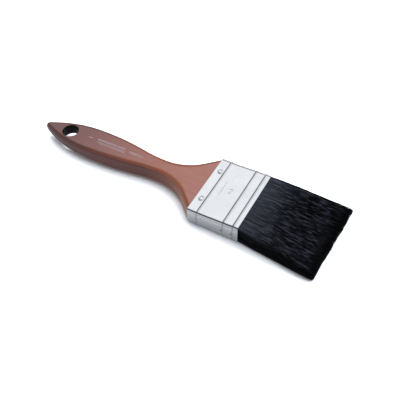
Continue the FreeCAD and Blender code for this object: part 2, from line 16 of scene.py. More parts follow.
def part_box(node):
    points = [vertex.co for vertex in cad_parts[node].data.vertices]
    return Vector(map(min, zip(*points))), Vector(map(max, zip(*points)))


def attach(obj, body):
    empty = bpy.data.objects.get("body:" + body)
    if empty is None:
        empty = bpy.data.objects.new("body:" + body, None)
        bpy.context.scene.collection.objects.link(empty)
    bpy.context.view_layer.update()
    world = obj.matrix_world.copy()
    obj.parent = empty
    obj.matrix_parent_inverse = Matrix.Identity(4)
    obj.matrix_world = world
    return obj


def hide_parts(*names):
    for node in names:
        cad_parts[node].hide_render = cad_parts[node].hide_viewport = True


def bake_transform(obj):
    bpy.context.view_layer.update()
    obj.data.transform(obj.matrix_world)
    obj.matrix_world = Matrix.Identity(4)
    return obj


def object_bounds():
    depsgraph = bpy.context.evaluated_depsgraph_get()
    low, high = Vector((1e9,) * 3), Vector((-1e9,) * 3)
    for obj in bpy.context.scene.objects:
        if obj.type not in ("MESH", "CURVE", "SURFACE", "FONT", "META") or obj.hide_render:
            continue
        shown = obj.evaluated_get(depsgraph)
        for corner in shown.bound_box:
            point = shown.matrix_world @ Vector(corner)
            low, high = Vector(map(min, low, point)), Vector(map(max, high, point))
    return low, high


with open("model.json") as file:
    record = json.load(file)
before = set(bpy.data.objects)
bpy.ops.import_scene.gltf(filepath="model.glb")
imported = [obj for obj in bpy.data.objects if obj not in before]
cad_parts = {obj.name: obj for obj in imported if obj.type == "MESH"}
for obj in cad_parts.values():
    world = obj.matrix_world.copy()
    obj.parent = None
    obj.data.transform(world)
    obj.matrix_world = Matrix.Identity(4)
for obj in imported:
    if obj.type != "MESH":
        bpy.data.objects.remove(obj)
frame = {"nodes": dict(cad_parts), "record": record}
cad_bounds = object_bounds()

MM = 0.001
ferrule_low, ferrule_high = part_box("ferrule")
handle_low, handle_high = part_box("handle")
sleeve_low, sleeve_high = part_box("hang_hole_sleeve")
heel_low, heel_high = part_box("bristle_heel")
spacer_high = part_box("spacer_plug")[1]
tuft_low, tuft_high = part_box("bristle_tuft")
nail_low, nail_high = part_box("nail_front_left")
rear_nail_low, rear_nail_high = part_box("nail_rear_left")
hang_hole = next(mount for mount in frame["record"]["mounts"] if mount["name"] == "hang_hole")

ORIGIN = np.array([ferrule_low.x, 0.0, (handle_low.z + handle_high.z) / 2])


def in_frame(points):
    """Points in the brush's millimetres, as metres in the row frame."""
    return np.asarray(points, float) * MM + ORIGIN


def in_brush(point):
    """A point of the row frame, in the brush's millimetres."""
    return (np.asarray(point, float) - ORIGIN) / MM


# Ferrule, in the sizes that it has in the CAD model.
FERRULE_LENGTH = (ferrule_high.x - ferrule_low.x) / MM
COLLAR_HALF = (handle_high.z - handle_low.z) / 2 / MM
COLLAR_LENGTH = 11.0
MOUTH_HALF = 7.1
GAUGE = 0.35
FERRULE_CORNER = 1.1
BEADS = (7.5, 26.4, 33.4)
BEAD_RISE = 0.4
BEAD_REACH = 0.8
HALF_WIDTH = (ferrule_high.y - ferrule_low.y) / 2 / MM - BEAD_RISE
LAP_LOW, LAP_HIGH = -2.3, 3.1
LAP_MARGIN = 0.6
CLINCHES = (24.8, 31.8)
CLINCH_HEIGHT = -1.3
CLINCH_RADIUS = 0.6
CLINCH_DEPTH = 0.25
NAIL_PLACE = in_brush((nail_low + nail_high) / 2)[0]
FRONT_NAIL = in_brush((nail_low + nail_high) / 2)[1]
REAR_NAIL = in_brush((rear_nail_low + rear_nail_high) / 2)[1]

# Details of the sheet that the CAD model leaves out: the line of painted shade on each bead's
# flank, and the pressed ring and wide shallow hollow about each nail.
BEAD_FLANK = 0.55
RING_RADIUS, RING_WIDTH, RING_DEPTH = 1.85, 0.32, 0.24
HOLLOW_RADIUS, HOLLOW_DEPTH = 4.5, 0.05

# Bristle pack: half width, top and bottom at the mouth and at the tips.
TIP = in_brush(tuft_high)[0]
BRISTLE_LENGTH = TIP - FERRULE_LENGTH
ROOT_HALF_WIDTH = in_brush(heel_high)[1]
ROOT_HALF_THICKNESS = MOUTH_HALF - GAUGE - 0.02
ROOT_CORNER = FERRULE_CORNER - GAUGE
TIP_HALF_WIDTH = in_brush(tuft_high)[1]
TIP_BOTTOM = in_brush(tuft_low)[2]
TIP_TOP = TIP_BOTTOM + 5.4
WIDTH_POWER = 0.95
TOP_POWER = 1.25

# Single bristles. Places along them are shares of the free length, less than 0 in the ferrule.
STRAND_RADIUS, STRAY_RADIUS = 0.15, 0.10
STRAND_START = -3.5 / BRISTLE_LENGTH
INNER_START = 0.82
SIDE_BAND = 1.6
RANDOM_SEED = 41


# ---------------------------------------------------------------------------------------- meshes


def new_piece(name, points, faces, material, smooth=True):
    """A mesh object from points in the brush's millimetres."""
    mesh = bpy.data.meshes.new(name)
    mesh.from_pydata(in_frame(points).tolist(), [], faces)
    mesh.polygons.foreach_set("use_smooth", [smooth] * len(mesh.polygons))
    mesh.materials.append(material)
    mesh.update()
    piece = bpy.data.objects.new(name, mesh)
    bpy.context.scene.collection.objects.link(piece)
    return piece


def grid_faces(rows, columns, close_rows=False):
    """Quads of a grid of closed rows of points, with the last row joined to the first if asked."""
    faces = []
    for row in range(rows if close_rows else rows - 1):
        here, there = row * columns, (row + 1) % rows * columns
        for column in range(columns):
            after = (column + 1) % columns
            faces.append((here + column, here + after, there + after, there + column))
    return faces


def spread(low, high, step, places=(), reach=0.0, fine=1.0):
    """Sorted stations from low to high, closer together round some places. A station nearer to
    another than a share of the fine step is left out."""
    least_gap = 0.6 * fine
    stations = [np.linspace(low, high, max(2, round((high - low) / step) + 1))]
    for place in places:
        count = round(2 * reach / fine) + 1
        stations.append(np.linspace(place - reach, place + reach, count))
    merged = np.unique(np.concatenate(stations))
    merged = merged[(merged >= low) & (merged <= high)]
    kept = [merged[0]]
    for station in merged[1:-1]:
        if station - kept[-1] > least_gap and merged[-1] - station > least_gap:
            kept.append(station)
    return np.array(kept + [merged[-1]])


def rounded_outline(across, upright, corner_steps):
    """A rounded rectangle, ready for any size: for each point the share of the flat half sizes,
    and the outward direction. across and upright are stations from -1 to 1 along its sides."""
    turns = np.linspace(0, math.pi / 2, corner_steps + 2)[1:-1]
    sides = []
    for quarter, stations in enumerate((upright, -across, -upright, across)):
        direction = quarter * math.pi / 2
        normal = (round(math.cos(direction)), round(math.sin(direction)))
        for share in stations:
            flat = (normal[0], share) if normal[0] else (share, normal[1])
            sides.append((*flat, *normal))
        corner = (
            round(math.cos(direction) - math.sin(direction)),
            round(math.sin(direction) + math.cos(direction)),
        )
        for turn in turns + direction:
            sides.append((*corner, math.cos(turn), math.sin(turn)))
    return np.array(sides)


def outline_points(outline, half_width, half_height, corner):
    """The outline's points across and up, for arrays of half sizes and corner radii."""
    flat_width = np.asarray(half_width - corner)[..., None]
    flat_height = np.asarray(half_height - corner)[..., None]
    corner = np.asarray(corner)[..., None]
    across = outline[:, 0] * flat_width + outline[:, 2] * corner
    upright = outline[:, 1] * flat_height + outline[:, 3] * corner
    return across, upright


def smooth_step(value, low, high):
    share = np.clip((value - low) / (high - low), 0, 1)
    return share * share * (3 - 2 * share)


# --------------------------------------------------------------------------------------- ferrule


def outside_half_thickness(place):
    share = (place - COLLAR_LENGTH) / (FERRULE_LENGTH - COLLAR_LENGTH)
    return COLLAR_HALF + (MOUTH_HALF - COLLAR_HALF) * np.clip(share, 0, 1)


def bead_rise(place):
    """Height of the rolled beads above the sheet."""
    rise = np.zeros_like(place)
    for bead in BEADS:
        share = np.clip(np.abs(place - bead) / BEAD_REACH, 0, 1)
        rise += BEAD_RISE * (0.5 + 0.5 * np.cos(math.pi * share)) ** 0.8
    return rise


def nail_dimple(place, across, nail):
    """Sheet drawn down in a ring and a wide hollow about each of a face's two nail heads."""
    depth = np.zeros_like(place)
    for side in (-nail, nail):
        distance = np.hypot(place - NAIL_PLACE, across - side)
        depth += RING_DEPTH * np.exp(-(((distance - RING_RADIUS) / RING_WIDTH) ** 2))
        depth += HOLLOW_DEPTH * np.exp(-((distance / HOLLOW_RADIUS) ** 2))
    return depth


def lap_rise(place, upright):
    """Extra thickness of the folded lap on the narrow side nearest the viewer."""
    along = smooth_step(place, LAP_MARGIN - 0.2, LAP_MARGIN + 0.2)
    along *= smooth_step(FERRULE_LENGTH - place, LAP_MARGIN - 0.2, LAP_MARGIN + 0.2)
    up = smooth_step(upright, LAP_LOW - 0.3, LAP_LOW + 0.3)
    down = 1 - smooth_step(upright, LAP_HIGH - 0.8, LAP_HIGH + 0.4)
    rise = GAUGE * along * up * down
    for clinch in CLINCHES:
        distance = np.hypot(place - clinch, upright - CLINCH_HEIGHT)
        rise -= CLINCH_DEPTH * (1 - smooth_step(distance, 0.3 * CLINCH_RADIUS, 1.3 * CLINCH_RADIUS))
    return rise


def sheet_waves(place, around):
    """Faint unevenness of the thin sheet."""
    waves = 0.022 * np.sin(place / 3.1 + 1.3 * np.sin(around / 5.3))
    waves += 0.018 * np.sin(around / 4.1 + 0.7 * np.sin(place / 6.0))
    waves += 0.010 * np.sin(place / 1.7 - around / 2.9)
    return waves


def make_ferrule(material):
    """The tinned sheet sleeve, a closed shell with its thickness and round rims."""
    half = GAUGE / 2
    # The outside's stations are closer together by the beads, the nails and the clinch marks.
    outer = spread(half, FERRULE_LENGTH - half, 0.8, BEADS, 1.1, 0.11)
    outer = np.unique(np.concatenate([outer, spread(1.0, 7.0, 0.22), spread(23.4, 33.2, 0.3)]))
    outer = outer[np.insert(np.diff(outer) > 0.05, 0, True)]
    inner = spread(half, FERRULE_LENGTH - half, 1.2, BEADS, 1.0, 0.2)[::-1]
    rim = np.linspace(0, math.pi, 7)[1:-1]
    place = np.concatenate([
        outer, FERRULE_LENGTH - half + half * np.sin(rim), inner, half - half * np.sin(rim),
    ])
    inset = np.concatenate([
        np.zeros(len(outer)), half - half * np.cos(rim), np.full(len(inner), GAUGE),
        half + half * np.cos(rim),
    ])
    flat_half = HALF_WIDTH - FERRULE_CORNER
    nails = (-FRONT_NAIL, -REAR_NAIL, REAR_NAIL, FRONT_NAIL)
    across = spread(-flat_half, flat_half, 0.7, nails, 2.6, 0.24) / flat_half
    side_half = 4.0
    lap_edges = (LAP_LOW, LAP_HIGH, CLINCH_HEIGHT)
    upright = spread(-side_half, side_half, 0.5, lap_edges, 0.8, 0.12) / side_half
    outline = rounded_outline(across, upright, 9)

    rise = bead_rise(place)
    y, z = outline_points(
        outline,
        HALF_WIDTH + rise - inset,
        outside_half_thickness(place) + rise - inset,
        FERRULE_CORNER + rise - inset,
    )
    x = np.broadcast_to(place[:, None], y.shape)
    lift = sheet_waves(x, y + 2 * z)
    outer_share = (1 - inset / GAUGE)[:, None]
    front, rear, near_side = outline[:, 3] > 0.9, outline[:, 3] < -0.9, outline[:, 2] < -0.95
    lift = lift - np.where(front, nail_dimple(x, y, FRONT_NAIL), 0)
    lift = lift - np.where(rear, nail_dimple(x, y, REAR_NAIL), 0)
    lift = lift + np.where(near_side, lap_rise(x, z) * outer_share, 0)
    rim_reach, least_share = 0.8, 0.15
    calm_rims = smooth_step(x, 0, rim_reach) * smooth_step(FERRULE_LENGTH - x, 0, rim_reach)
    lift = lift * np.maximum(calm_rims, least_share)
    points = np.stack([x, y + lift * outline[:, 2], z + lift * outline[:, 3]], axis=-1)
    faces = grid_faces(len(place), len(outline), close_rows=True)
    piece = new_piece("ferrule_shell", points.reshape(-1, 3), faces, material)
    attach(piece, "root")
    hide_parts("ferrule")


def face_height(place):
    """Height of the ferrule's front face, beads left out."""
    return float(outside_half_thickness(np.array(place)))


def ribbon(path, width, height, lift):
    """A raised, round topped line along a path of (x, y) points on the front face."""
    path = np.array(path, float)
    tangent = np.gradient(path, axis=0)
    tangent /= np.linalg.norm(tangent, axis=1)[:, None]
    side = np.stack([-tangent[:, 1], tangent[:, 0]], axis=1)
    profile = [(0.5, -0.4), (0.42, 0.35), (0.2, 0.85), (0.0, 1.0), (-0.2, 0.85), (-0.42, 0.35)]
    profile.append((-0.5, -0.4))
    points = []
    for (x, y), (side_x, side_y) in zip(path, side):
        for share, rise in profile:
            points.append((
                x + side_x * share * width,
                y + side_y * share * width,
                face_height(x) + lift + rise * height,
            ))
    count = len(profile)
    faces = grid_faces(len(path), count)
    faces.append(tuple(range(count))[::-1])
    faces.append(tuple(range((len(path) - 1) * count, len(path) * count)))
    return points, faces


def joined(parts):
    """One list of points and faces from several."""
    points, faces = [], []
    for part_points, part_faces in parts:
        start = len(points)
        points.extend(part_points)
        faces.extend(tuple(start + index for index in face) for face in part_faces)
    return points, faces


def make_size_mark(material):
    """The number of inches, standing out faintly from the front of the ferrule, by a rule."""
    arc = [
        (0.5 * math.cos(turn), 0.45 * math.sin(turn))
        for turn in np.linspace(math.radians(165), math.radians(-40), 14)
    ]
    digit = [(x, y + 0.55) for x, y in arc]
    digit += [(0.38 - 0.88 * share, 0.26 - 1.16 * share) for share in (0.25, 0.5, 0.75, 1.0)]
    digit += [(-0.5 + share, -0.9) for share in (0.2, 0.5, 0.8, 1.0)]
    height = 2.1
    middle = (18.4, 0.4)
    parts = []
    # The number reads with its top towards the far side of the brush, so its own right is +X.
    path = [(middle[0] + height * x * 1.1, middle[1] + height * y) for x, y in digit]
    parts.append(ribbon(path, 0.5, 0.07, 0.015))
    rule = [(12.6, y) for y in np.linspace(-6.0, 6.5, 24)]
    parts.append(ribbon(rule, 0.4, 0.035, 0.005))
    points, faces = joined(parts)
    piece = new_piece("size_mark", points, faces, material)
    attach(piece, "root")


# ------------------------------------------------------------------------------- handle's details


def lathe(name, profile, centre, segments, material):
    """A ring turned about a vertical axis through centre, from a closed (radius, z) profile."""
    points = []
    for radius, z in profile:
        for step in range(segments):
            turn = 2 * math.pi * step / segments
            points.append((
                centre[0] + radius * math.cos(turn),
                centre[1] + radius * math.sin(turn),
                z,
            ))
    faces = grid_faces(len(profile), segments, close_rows=True)
    return new_piece(name, points, faces, material)


def make_hole_liner(material):
    """The black liner of the hanging hole, with soft round rims."""
    centre = in_brush((sleeve_low + sleeve_high) / 2)
    outside = (sleeve_high.x - sleeve_low.x) / 2 / MM
    inside = hang_hole["dims"]["r_mm"]
    low, high = in_brush(sleeve_low)[2], in_brush(sleeve_high)[2]
    wall = outside - inside
    turns = np.linspace(0, math.pi, 9)
    top = [(outside - wall / 2 + wall / 2 * math.cos(t), high - 0.2 + 0.2 * math.sin(t))
           for t in turns]
    bottom = [(inside + wall / 2 - wall / 2 * math.cos(t), low + 0.2 - 0.2 * math.sin(t))
              for t in turns]
    inner_wall = [(inside, z) for z in np.linspace(high - 0.2, low + 0.2, 14)[1:-1]]
    outer_wall = [(outside, z) for z in np.linspace(low + 0.2, high - 0.2, 8)[1:-1]]
    piece = lathe("hole_liner", top + inner_wall + bottom + outer_wall, centre, 96, material)
    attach(piece, "root")
    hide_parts("hang_hole_sleeve")


def wood_height(x, y):
    """Height of the handle's front face at a place."""
    handle = frame["nodes"]["handle"]
    to_local = handle.matrix_world.inverted()
    start = to_local @ Vector(in_frame((x, y, 20.0)))
    place = handle.ray_cast(start, to_local.to_3x3() @ Vector((0, 0, -1)))[1]
    return in_brush(handle.matrix_world @ place)[2]


def wood_half_width(x):
    """Half the width of the handle at a place, in its middle plane."""
    handle = frame["nodes"]["handle"]
    to_local = handle.matrix_world.inverted()
    start = to_local @ Vector(in_frame((x, 60.0, 0.0)))
    place = handle.ray_cast(start, to_local.to_3x3() @ Vector((0, -1, 0)))[1]
    return in_brush(handle.matrix_world @ place)[1]


def make_handle_print(material):
    """A plain printed band on the grip: slanted bars between thin rules."""
    thickness = 0.03

    def bar(corners):
        heights = [wood_height(x, y) for x, y in corners]
        lower = [(x, y, height - thickness / 2) for (x, y), height in zip(corners, heights)]
        upper = [(x, y, height + thickness) for (x, y), height in zip(corners, heights)]
        sides = [(0, 1, 5, 4), (1, 2, 6, 5), (2, 3, 7, 6), (3, 0, 4, 7)]
        return lower + upper, [(3, 2, 1, 0), (4, 5, 6, 7), *sides]

    def rule(start, end, y, height):
        places = np.linspace(start, end, math.ceil((end - start) / 1.5) + 1)
        points = []
        for x in places:
            near, far = wood_height(x, y), wood_height(x, y + height)
            points.append((x, y, near - thickness / 2))
            points.append((x, y + height, far - thickness / 2))
            points.append((x, y + height, far + thickness))
            points.append((x, y, near + thickness))
        last = len(points) - 4
        return points, [
            *grid_faces(len(places), 4), (3, 2, 1, 0), (last, last + 1, last + 2, last + 3),
        ]

    parts = [
        rule(-84.0, -62.0, -2.5, 0.22),
        rule(-94.5, -91.0, 0.3, 0.5),
        rule(-60.0, -48.5, -0.6, 0.35),
    ]
    lean, width = 0.55, 0.42
    bar_rows = (
        (-87.0, -64.0, 1.05, 0.1, 1.9),
        (-86.0, -63.0, 0.8, -1.7, 0.8),
        (-60.0, -49.0, 0.8, 0.3, 0.7),
    )
    for start, end, step, y, height in bar_rows:
        for x in np.arange(start, end, step):
            parts.append(bar([
                (x, y), (x + width, y), (x + width + lean * height / 2, y + height),
                (x + lean * height / 2, y + height),
            ]))
    points, faces = joined(parts)
    piece = new_piece("handle_print", points, faces, material, smooth=False)
    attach(piece, "root")


# -------------------------------------------------------------------------------------- bristles


def pack_half_width(share):
    return ROOT_HALF_WIDTH + (TIP_HALF_WIDTH - ROOT_HALF_WIDTH) * share**WIDTH_POWER


def pack_top(share):
    return ROOT_HALF_THICKNESS + (TIP_TOP - ROOT_HALF_THICKNESS) * share**TOP_POWER


def pack_bottom(share):
    return -ROOT_HALF_THICKNESS + (TIP_BOTTOM + ROOT_HALF_THICKNESS) * share


def pack_ring(depth, spacing, random):
    """Root places round the pack at a depth under its surface, as shares of its half sizes."""
    half_width, half_height = ROOT_HALF_WIDTH - depth, ROOT_HALF_THICKNESS - depth
    corner = max(ROOT_CORNER - depth, 0.25)
    dense = rounded_outline(np.linspace(-1, 1, 400), np.linspace(-1, 1, 90), 12)
    y, z = outline_points(dense, half_width, half_height, corner)
    step = np.hypot(np.diff(y, append=y[:1]), np.diff(z, append=z[:1]))
    along = np.concatenate([[0], np.cumsum(step)])
    count = round(along[-1] / spacing)
    wanted = (np.arange(count) + random.uniform(-0.35, 0.35, count)) * along[-1] / count
    wanted = np.mod(wanted, along[-1])
    y = np.interp(wanted, along, np.append(y, y[0]))
    z = np.interp(wanted, along, np.append(z, z[0]))
    return np.stack([y / ROOT_HALF_WIDTH, z / ROOT_HALF_THICKNESS], axis=1)


def pack_inside(depth, spacing, random):
    """Root places in the middle of the pack, on a shaken grid."""
    half_width, half_height = ROOT_HALF_WIDTH - depth, ROOT_HALF_THICKNESS - depth
    across = np.arange(-half_width, half_width, spacing)
    upright = np.arange(-half_height, half_height, spacing)
    y, z = (grid.ravel() for grid in np.meshgrid(across, upright))
    y = y + random.uniform(-0.45, 0.45, y.size) * spacing
    z = z + random.uniform(-0.45, 0.45, z.size) * spacing
    return np.stack([y / ROOT_HALF_WIDTH, z / ROOT_HALF_THICKNESS], axis=1)


def make_tufts(random):
    """Small tufts that the bristles gather into: their middles and how each one waves."""
    across = np.arange(-1.0, 1.0, 0.062)
    upright = np.arange(-1.0, 1.01, 0.25)
    y, z = (grid.ravel() for grid in np.meshgrid(across, upright))
    middles = np.stack([
        y + random.uniform(-0.03, 0.03, y.size), z + random.uniform(-0.12, 0.12, z.size),
    ], axis=1)
    return {
        "middle": middles,
        "phase": random.uniform(0, 1, (len(middles), 4)),
        "swing": random.normal(0, 1, (len(middles), 2)),
    }


def trim(roots, random):
    """How far each bristle ends before the tip line, in millimetres: at random, more by the faces
    and towards the near side, and with a nick close to the far corner."""
    u, v = roots[:, 0], roots[:, 1]
    short = random.exponential(0.40, len(roots))
    short += 0.8 * np.abs(v) ** 3
    short += 1.5 * (1 - u)
    short += 0.6 * np.clip((-u - 0.92) / 0.08, 0, 1) ** 2
    short += 1.4 * np.exp(-(((u - 0.87) / 0.02) ** 2))
    short += 0.15 * np.sin(u * 9.0) + 0.12 * np.sin(u * 23.0 + 1.0)
    return np.clip(short, 0, 7.0)


def strand_lines(roots, start, rings, tufts, random, stray):
    """Middle lines of bristles from a share of the free length to their tips."""
    count = len(roots)
    nearest = np.array([
        np.argmin((tufts["middle"][:, 0] - u) ** 2 * 20 + (tufts["middle"][:, 1] - v) ** 2)
        for u, v in roots
    ])
    end = 1 - trim(roots, random) / BRISTLE_LENGTH
    steps = np.linspace(0, 1, rings)
    share = start + (end[:, None] - start) * steps[None, :]
    free = np.clip(share, 0, 1)
    gather = 0.42 * free**1.6
    u = roots[:, :1] + (tufts["middle"][nearest, :1] - roots[:, :1]) * gather
    v = roots[:, 1:] + (tufts["middle"][nearest, 1:] - roots[:, 1:]) * gather * 0.3
    half_width = pack_half_width(free)
    top, bottom = pack_top(free), pack_bottom(free)
    y = u * half_width
    z = (top + bottom) / 2 + v * (top - bottom) / 2
    phase, swing = tufts["phase"][nearest], tufts["swing"][nearest]
    own = random.uniform(0, 1, (count, 4))
    lean = random.normal(0, 1, (count, 2))
    turn = 2 * math.pi
    # Sideways, each tuft waves as one and leans, and each bristle has a finer wave of its own.
    y += free * (
        0.26 * np.sin(turn * (0.8 * free + phase[:, :1]))
        + 0.14 * np.sin(turn * (2.1 * free + phase[:, 1:2]))
        + 0.22 * swing[:, :1]
        + (0.12 + stray) * lean[:, :1] * free
    )
    y += free**0.6 * (
        0.16 * np.sin(turn * ((2.0 + 3.0 * own[:, 2:3]) * free + own[:, :1]))
        + 0.06 * np.sin(turn * (7.0 * free + own[:, 1:2]))
    )
    # Up and down the same goes on, but less in the narrow sides, which stay flat.
    calm_sides = 1 - 0.75 * smooth_step(np.abs(roots[:, :1]), 0.90, 0.98)
    z += free * calm_sides * (
        0.20 * np.sin(turn * (1.1 * free + phase[:, 2:3]))
        + 0.14 * np.sin(turn * (3.1 * free + phase[:, 3:4]))
        + 0.15 * swing[:, 1:]
        + (0.05 + 0.5 * stray) * lean[:, 1:] * free
    )
    z += free**0.6 * 0.17 * np.sin(turn * ((2.5 + 3.0 * own[:, 3:]) * free + own[:, 1:2]))
    lowest, highest = TIP_BOTTOM + 0.12, in_brush(cad_bounds[1])[2] - 0.2
    z = np.clip(z, lowest, highest)
    y = np.clip(y, -TIP_HALF_WIDTH + 0.15, TIP_HALF_WIDTH - 0.15)
    x = FERRULE_LENGTH + share * BRISTLE_LENGTH
    return np.stack([x, y, z], axis=-1)


def paint(piece, name, values):
    """A number for each point of a piece, for its material to read."""
    layer = piece.data.attributes.new(name, "FLOAT", "POINT")
    layer.data.foreach_set("value", np.asarray(values, float).ravel())


def make_strands(name, lines, roots, root_radius, material, random):
    """Bristles as thin three-sided tubes along their middle lines. Their points also carry what
    the material reads: each bristle's own shade, the dust and painted sheen by the ferrule on the
    broad faces, how far along the free length it is, and whether it lies on a narrow side, where
    shade is painted."""
    count, rings = lines.shape[:2]
    sides = 3
    steps = np.linspace(0, 1, rings)
    taper = 1 - 0.38 * steps
    taper[-1] = 0.3
    radius = root_radius * random.uniform(0.8, 1.15, count)[:, None] * taper[None, :]
    spin = random.uniform(0, 2 * math.pi, count)
    turn = spin[:, None] + 2 * math.pi * np.arange(sides)[None, :] / sides
    around = np.stack([np.zeros_like(turn), np.cos(turn), np.sin(turn)], axis=-1)
    points = lines[:, :, None, :] + radius[:, :, None, None] * around[:, None, :, :]
    ring_faces = np.array(grid_faces(rings, sides))
    first = np.arange(count) * rings * sides
    faces = (first[:, None, None] + ring_faces[None]).reshape(-1, 4).tolist()
    last = (rings - 1) * sides
    faces += [(start + 2, start + 1, start) for start in first]
    faces += [(start + last, start + last + 1, start + last + 2) for start in first]
    piece = new_piece(name, points.reshape(-1, 3), faces, material)
    paint(piece, "shade", np.repeat(random.uniform(0, 1, count), rings * sides))
    free = (lines[:, :, 0] - FERRULE_LENGTH) / BRISTLE_LENGTH
    # Dust and a painted sheen by the ferrule, on the broad faces only.
    on_face = smooth_step(np.abs(roots[:, 1]), 0.80, 0.97) * random.uniform(0.5, 1.0, count)
    dust_and_sheen = on_face[:, None] * (1 - smooth_step(free, 0.0, 0.42))
    paint(piece, "dust_and_sheen", np.repeat(dust_and_sheen[:, :, None], sides, axis=2))
    paint(piece, "reach", np.repeat(free[:, :, None], sides, axis=2))
    # Painted shade: bristles on the narrow sides are marked for darkening.
    side_and_gap_shade = smooth_step(np.abs(roots[:, 0]), 0.925, 0.98)
    paint(piece, "side_and_gap_shade", np.repeat(side_and_gap_shade, rings * sides))
    return piece


def flex(piece):
    """Bake a piece of the bristles' placement into its mesh, and hide the CAD model's tuft and
    heel.
    """
    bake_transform(piece)
    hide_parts("bristle_tuft", "bristle_heel")


def make_core(material):
    """The inside of the pack, painted dark as the shade between the bristles, with a slot for the
    wooden spacer strip.
    """
    roots_start = in_brush(heel_low)[0]
    slot_gap, slot_corner, depth = 0.02, 0.42, 0.75
    spacer_end, slot_half_width, slot_half_height = in_brush(spacer_high) + slot_gap
    free = np.linspace(0, 0.9, 40)
    places = FERRULE_LENGTH + free * BRISTLE_LENGTH
    top, bottom = pack_top(free) - depth, pack_bottom(free) + depth * 0.8
    inside = outside_half_thickness(np.array([roots_start, FERRULE_LENGTH - 0.5])) - GAUGE - 0.2
    # Each row has its place, half width, half height, the height of its middle and corner radius.
    rows = [
        (spacer_end, 0.4, 0.4, 0.0, 0.2),
        (spacer_end, slot_half_width - 0.4, slot_half_height - 0.4, 0.0, slot_corner),
        (spacer_end, slot_half_width, slot_half_height, 0.0, slot_corner),
        (roots_start, slot_half_width, slot_half_height, 0.0, slot_corner),
        (roots_start, ROOT_HALF_WIDTH - 0.2, inside[0], 0.0, 1.0),
        (FERRULE_LENGTH - 0.5, ROOT_HALF_WIDTH - 0.4, inside[1] - 0.3, 0.0, 1.0),
    ]
    for place, share, high, low in zip(places, free, top, bottom):
        half_width = pack_half_width(share) - depth
        rows.append((place, half_width, (high - low) / 2, (high + low) / 2, 0.9))
    rows.append((places[-1] + 0.4, half_width - 0.8, (high - low) / 2 - 0.6, (high + low) / 2, 0.5))
    rows.append((places[-1] + 0.5, 1.0, 0.6, (high + low) / 2, 0.3))
    rows = np.array(rows)
    outline = rounded_outline(np.linspace(-1, 1, 161), np.linspace(-1, 1, 31), 4)
    y, z = outline_points(outline, rows[:, 1], rows[:, 2], rows[:, 4])
    x = np.broadcast_to(rows[:, :1], y.shape)
    ridge = 0.10 * np.sin(np.arange(len(outline)) * 2.3) + 0.08 * np.sin(
        np.arange(len(outline)) * 0.71 + x / 9
    )
    # The ridges run along the outside only, from the ferrule's mouth to the blunt end.
    row = np.arange(len(rows))[:, None]
    ridge = np.where((row >= 5) & (row < len(rows) - 2), ridge, 0)
    y = y + ridge * outline[:, 2]
    z = z + rows[:, 3:4] + ridge * outline[:, 3]
    points = np.stack([x, y, z], axis=-1).reshape(-1, 3)
    faces = grid_faces(len(rows), len(outline))
    last = (len(rows) - 1) * len(outline)
    faces.append(tuple(range(len(outline)))[::-1])
    faces.append(tuple(last + index for index in range(len(outline))))
    piece = new_piece("bristle_core", points, faces, material)
    # Painted shade: the core shows between the bristles, so it takes a dark shade and half the
    # painted side shade.
    paint(piece, "shade", np.full(len(points), 0.1))
    paint(piece, "reach", np.clip((points[:, 0] - FERRULE_LENGTH) / BRISTLE_LENGTH, 0, 1))
    paint(piece, "side_and_gap_shade", np.full(len(points), 0.5))
    flex(piece)


def make_bristles(material):
    """The free bristles in groups: each face of the pack, its inside by the tips, and strays."""
    random = np.random.default_rng(RANDOM_SEED)
    tufts = make_tufts(random)
    outer = np.concatenate([
        pack_ring(depth, spacing, random)
        for depth, spacing in ((0.13, 0.27), (0.38, 0.30), (0.66, 0.33), (0.98, 0.36))
    ])
    u, v = outer[:, 0], outer[:, 1]
    on_side = np.abs(u) * ROOT_HALF_WIDTH > ROOT_HALF_WIDTH - SIDE_BAND
    groups = {
        "bristles_front": ~on_side & (v > 0),
        "bristles_rear": ~on_side & (v <= 0),
        "bristles_near_side": on_side & (u < 0),
        "bristles_far_side": on_side & (u > 0),
    }

    def grow(name, roots, start, rings, radius=STRAND_RADIUS, stray=0.0):
        lines = strand_lines(roots, start, rings, tufts, random, stray)
        flex(make_strands(name, lines, roots, radius, material, random))

    for name, chosen in groups.items():
        grow(name, outer[chosen], STRAND_START, 18)
    inner = pack_inside(1.2, 0.40, random)
    grow("bristles_inner_left", inner[inner[:, 0] > 0], INNER_START, 5)
    grow("bristles_inner_right", inner[inner[:, 0] <= 0], INNER_START, 5)
    grow("bristles_stray", pack_ring(0.1, 1.1, random), STRAND_START, 14, STRAY_RADIUS, stray=0.9)


# ------------------------------------------------------------------------------------- materials


class Nodes:
    """Short calls to add nodes to a tree."""

    def __init__(self, tree):
        self.tree = tree

    def add(self, kind, values=None, **properties):
        node = self.tree.nodes.new(kind)
        for name, value in properties.items():
            setattr(node, name, value)
        for socket, value in (values or {}).items():
            self.feed(node.inputs[socket], value)
        return node

    def feed(self, socket, value):
        """Set a socket, or link it where the value is another node's output."""
        if isinstance(value, bpy.types.NodeSocket):
            self.tree.links.new(value, socket)
        else:
            socket.default_value = value

    def math(self, operation, first, second=0.0):
        return self.add("ShaderNodeMath", {0: first, 1: second}, operation=operation).outputs[0]

    def times(self, first, second):
        return self.math("MULTIPLY", first, second)

    def apart(self, first, second):
        """How far apart two numbers are."""
        return self.math("ABSOLUTE", self.math("SUBTRACT", first, second))

    def ramp(self, value, low, high, to_low=0.0, to_high=1.0):
        """A smooth change from to_low to to_high as a value goes from low to high."""
        node = self.add("ShaderNodeMapRange", {
            "Value": value, "From Min": low, "From Max": high, "To Min": to_low, "To Max": to_high,
        })
        node.interpolation_type = "SMOOTHSTEP"
        return node.outputs[0]


